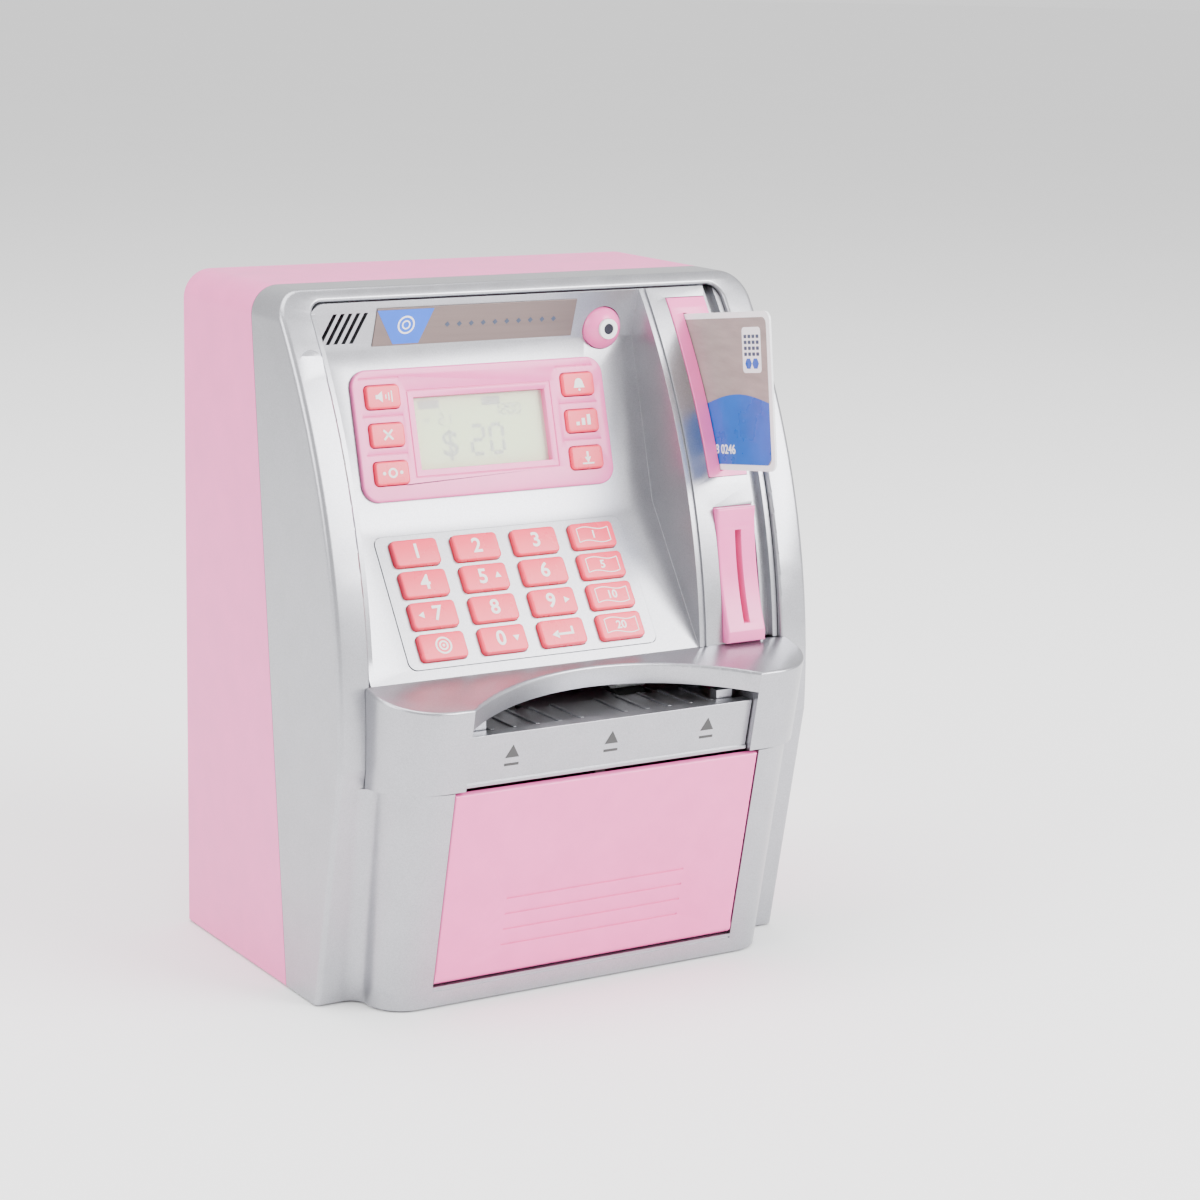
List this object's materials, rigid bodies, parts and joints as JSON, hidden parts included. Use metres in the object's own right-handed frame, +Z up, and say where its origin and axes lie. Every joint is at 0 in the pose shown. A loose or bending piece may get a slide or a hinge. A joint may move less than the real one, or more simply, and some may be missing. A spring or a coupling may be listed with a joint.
{
  "type": "toy cash machine bank",
  "caption": "Toy cash machine bank with a sloping keypad, screen, card slot, coin slot, note feeder and a drop-down front door.",
  "frame": {"origin": "middle of the footprint, at the underside of the feet", "axes": "+X to the user's right-hand side, +Y towards the rear, +Z up; the keypad faces -Y"},
  "size_m": [0.184, 0.1448, 0.235],
  "materials": {
    "pink_casing": "satin moulded",
    "silver_frame": "satin silver paint on plastic",
    "silver_console": "satin silver paint on plastic",
    "pink_trim": "semi-gloss",
    "key_caps": "satin moulded",
    "clear_window": "clear acrylic",
    "screen": "liquid crystal panel",
    "silicone": "matte",
    "badge": "brushed look",
    "black_plastic": "matte",
    "white_plastic": "satin",
    "card_print": "printed",
    "rubber_pad": "matte",
    "screw_steel": "plain",
    "circuit_board": "solder mask",
    "black_gloss": "glossy",
    "motor_steel": "plain",
    "cell_wrap": "wrapped cell"
  },
  "bodies": {
    "casing": {"rear_casing": "pink_casing", "front_frame": "silver_frame", "console": "silver_console", "keypad_plate": "silver_console", "lcd_bezel": "pink_trim", "lcd_window": "clear_window", "lcd_module": "screen", "key_mats": "silicone", "name_badge": "badge", "speaker": "black_plastic", "card_bezel": "pink_trim", "card_guide": "white_plastic", "coin_bezel": "pink_trim", "coin_chute": "white_plastic", "cash_hood": "silver_frame", "tray_front": "silver_frame", "bill_track": "silver_frame", "feet": "rubber_pad", "casing_screws": "screw_steel", "main_board": "circuit_board", "keypad_board": "circuit_board", "camera_dome": "pink_trim", "camera_ring": "white_plastic", "camera_lens": "black_gloss", "feed_motor": "motor_steel", "latch_housing": "black_plastic", "battery_box": "black_plastic", "batteries": "cell_wrap", "battery_contacts": "screw_steel"},
    "door": {"door": "pink_trim"},
    "latch_bolt": {"latch_bolt": "screw_steel"},
    "card": {"card": "card_print"},
    "coin_lever": {"coin_lever": "white_plastic"},
    "feed_shaft": {"feed_shaft": "white_plastic", "feed_rollers": "rubber_pad"},
    "idler_shaft": {"idler_shaft": "white_plastic"},
    "motor_pinion": {"motor_pinion": "white_plastic"},
    "battery_cover": {"battery_cover": "pink_casing"},
    "key_one": {"key_one": "key_caps"},
    "key_two": {"key_two": "key_caps"},
    "key_three": {"key_three": "key_caps"},
    "key_note_one": {"key_note_one": "key_caps"},
    "key_four": {"key_four": "key_caps"},
    "key_five": {"key_five": "key_caps"},
    "key_six": {"key_six": "key_caps"},
    "key_note_five": {"key_note_five": "key_caps"},
    "key_seven": {"key_seven": "key_caps"},
    "key_eight": {"key_eight": "key_caps"},
    "key_nine": {"key_nine": "key_caps"},
    "key_note_ten": {"key_note_ten": "key_caps"},
    "key_target": {"key_target": "key_caps"},
    "key_zero": {"key_zero": "key_caps"},
    "key_enter": {"key_enter": "key_caps"},
    "key_note_twenty": {"key_note_twenty": "key_caps"},
    "key_sound": {"key_sound": "key_caps"},
    "key_clear": {"key_clear": "key_caps"},
    "key_set": {"key_set": "key_caps"},
    "key_alarm": {"key_alarm": "key_caps"},
    "key_balance": {"key_balance": "key_caps"},
    "key_withdraw": {"key_withdraw": "key_caps"}
  },
  "joints": [
    {"name": "key_one_press", "type": "slide", "parent": "casing", "child": "key_one", "axis": [0, 0.8211, -0.5707], "range_m": [0, 0.0012], "stiffness_N_per_m": 200},
    {"name": "key_two_press", "type": "slide", "parent": "casing", "child": "key_two", "axis": [0, 0.8211, -0.5707], "range_m": [0, 0.0012], "stiffness_N_per_m": 200},
    {"name": "key_three_press", "type": "slide", "parent": "casing", "child": "key_three", "axis": [0, 0.8211, -0.5707], "range_m": [0, 0.0012], "stiffness_N_per_m": 200},
    {"name": "key_note_one_press", "type": "slide", "parent": "casing", "child": "key_note_one", "axis": [0, 0.8211, -0.5707], "range_m": [0, 0.0012], "stiffness_N_per_m": 200},
    {"name": "key_four_press", "type": "slide", "parent": "casing", "child": "key_four", "axis": [0, 0.8211, -0.5707], "range_m": [0, 0.0012], "stiffness_N_per_m": 200},
    {"name": "key_five_press", "type": "slide", "parent": "casing", "child": "key_five", "axis": [0, 0.8211, -0.5707], "range_m": [0, 0.0012], "stiffness_N_per_m": 200},
    {"name": "key_six_press", "type": "slide", "parent": "casing", "child": "key_six", "axis": [0, 0.8211, -0.5707], "range_m": [0, 0.0012], "stiffness_N_per_m": 200},
    {"name": "key_note_five_press", "type": "slide", "parent": "casing", "child": "key_note_five", "axis": [0, 0.8211, -0.5707], "range_m": [0, 0.0012], "stiffness_N_per_m": 200},
    {"name": "key_seven_press", "type": "slide", "parent": "casing", "child": "key_seven", "axis": [0, 0.8211, -0.5707], "range_m": [0, 0.0012], "stiffness_N_per_m": 200},
    {"name": "key_eight_press", "type": "slide", "parent": "casing", "child": "key_eight", "axis": [0, 0.8211, -0.5707], "range_m": [0, 0.0012], "stiffness_N_per_m": 200},
    {"name": "key_nine_press", "type": "slide", "parent": "casing", "child": "key_nine", "axis": [0, 0.8211, -0.5707], "range_m": [0, 0.0012], "stiffness_N_per_m": 200},
    {"name": "key_note_ten_press", "type": "slide", "parent": "casing", "child": "key_note_ten", "axis": [0, 0.8211, -0.5707], "range_m": [0, 0.0012], "stiffness_N_per_m": 200},
    {"name": "key_target_press", "type": "slide", "parent": "casing", "child": "key_target", "axis": [0, 0.8211, -0.5707], "range_m": [0, 0.0012], "stiffness_N_per_m": 200},
    {"name": "key_zero_press", "type": "slide", "parent": "casing", "child": "key_zero", "axis": [0, 0.8211, -0.5707], "range_m": [0, 0.0012], "stiffness_N_per_m": 200},
    {"name": "key_enter_press", "type": "slide", "parent": "casing", "child": "key_enter", "axis": [0, 0.8211, -0.5707], "range_m": [0, 0.0012], "stiffness_N_per_m": 200},
    {"name": "key_note_twenty_press", "type": "slide", "parent": "casing", "child": "key_note_twenty", "axis": [0, 0.8211, -0.5707], "range_m": [0, 0.0012], "stiffness_N_per_m": 200},
    {"name": "key_sound_press", "type": "slide", "parent": "casing", "child": "key_sound", "axis": [0, 0.961, -0.2765], "range_m": [0, 0.0012], "stiffness_N_per_m": 200},
    {"name": "key_clear_press", "type": "slide", "parent": "casing", "child": "key_clear", "axis": [0, 0.961, -0.2765], "range_m": [0, 0.0012], "stiffness_N_per_m": 200},
    {"name": "key_set_press", "type": "slide", "parent": "casing", "child": "key_set", "axis": [0, 0.961, -0.2765], "range_m": [0, 0.0012], "stiffness_N_per_m": 200},
    {"name": "key_alarm_press", "type": "slide", "parent": "casing", "child": "key_alarm", "axis": [0, 0.961, -0.2765], "range_m": [0, 0.0012], "stiffness_N_per_m": 200},
    {"name": "key_balance_press", "type": "slide", "parent": "casing", "child": "key_balance", "axis": [0, 0.961, -0.2765], "range_m": [0, 0.0012], "stiffness_N_per_m": 200},
    {"name": "key_withdraw_press", "type": "slide", "parent": "casing", "child": "key_withdraw", "axis": [0, 0.961, -0.2765], "range_m": [0, 0.0012], "stiffness_N_per_m": 200},
    {"name": "door_hinge", "type": "hinge", "parent": "casing", "child": "door", "pos_m": [0, -0.05016, 0.0117], "axis": [1, 0, 0], "range_deg": [0, 78]},
    {"name": "latch_slide", "type": "slide", "parent": "casing", "child": "latch_bolt", "axis": [0, 0, -1], "range_m": [0, 0.005]},
    {"name": "card_slide", "type": "slide", "parent": "casing", "child": "card", "axis": [0, 0.991, -0.134], "range_m": [-0.04, 0.004]},
    {"name": "coin_lever_pivot", "type": "hinge", "parent": "casing", "child": "coin_lever", "pos_m": [0.0645, 0.00595, 0.123], "axis": [1, 0, 0], "range_deg": [0, 25], "stiffness_Nm_per_rad": 0.0005},
    {"name": "feed_spin", "type": "hinge", "parent": "casing", "child": "feed_shaft", "pos_m": [0, -0.033, 0.0908], "axis": [1, 0, 0], "continuous": true},
    {"name": "idler_spin", "type": "hinge", "parent": "casing", "child": "idler_shaft", "pos_m": [0, -0.033, 0.1021], "axis": [1, 0, 0], "continuous": true},
    {"name": "pinion_spin", "type": "hinge", "parent": "casing", "child": "motor_pinion", "pos_m": [-0.057, -0.0211, 0.0908], "axis": [1, 0, 0], "continuous": true},
    {"name": "battery_cover_hinge", "type": "hinge", "parent": "casing", "child": "battery_cover", "pos_m": [0, 0.0725, 0.12895], "axis": [-1, 0, 0], "range_deg": [0, 60]}
  ],
  "couplings": [
    {"joint": "idler_spin", "follows": "feed_spin", "ratio": -1.2},
    {"joint": "pinion_spin", "follows": "feed_spin", "ratio": -2.4}
  ]
}
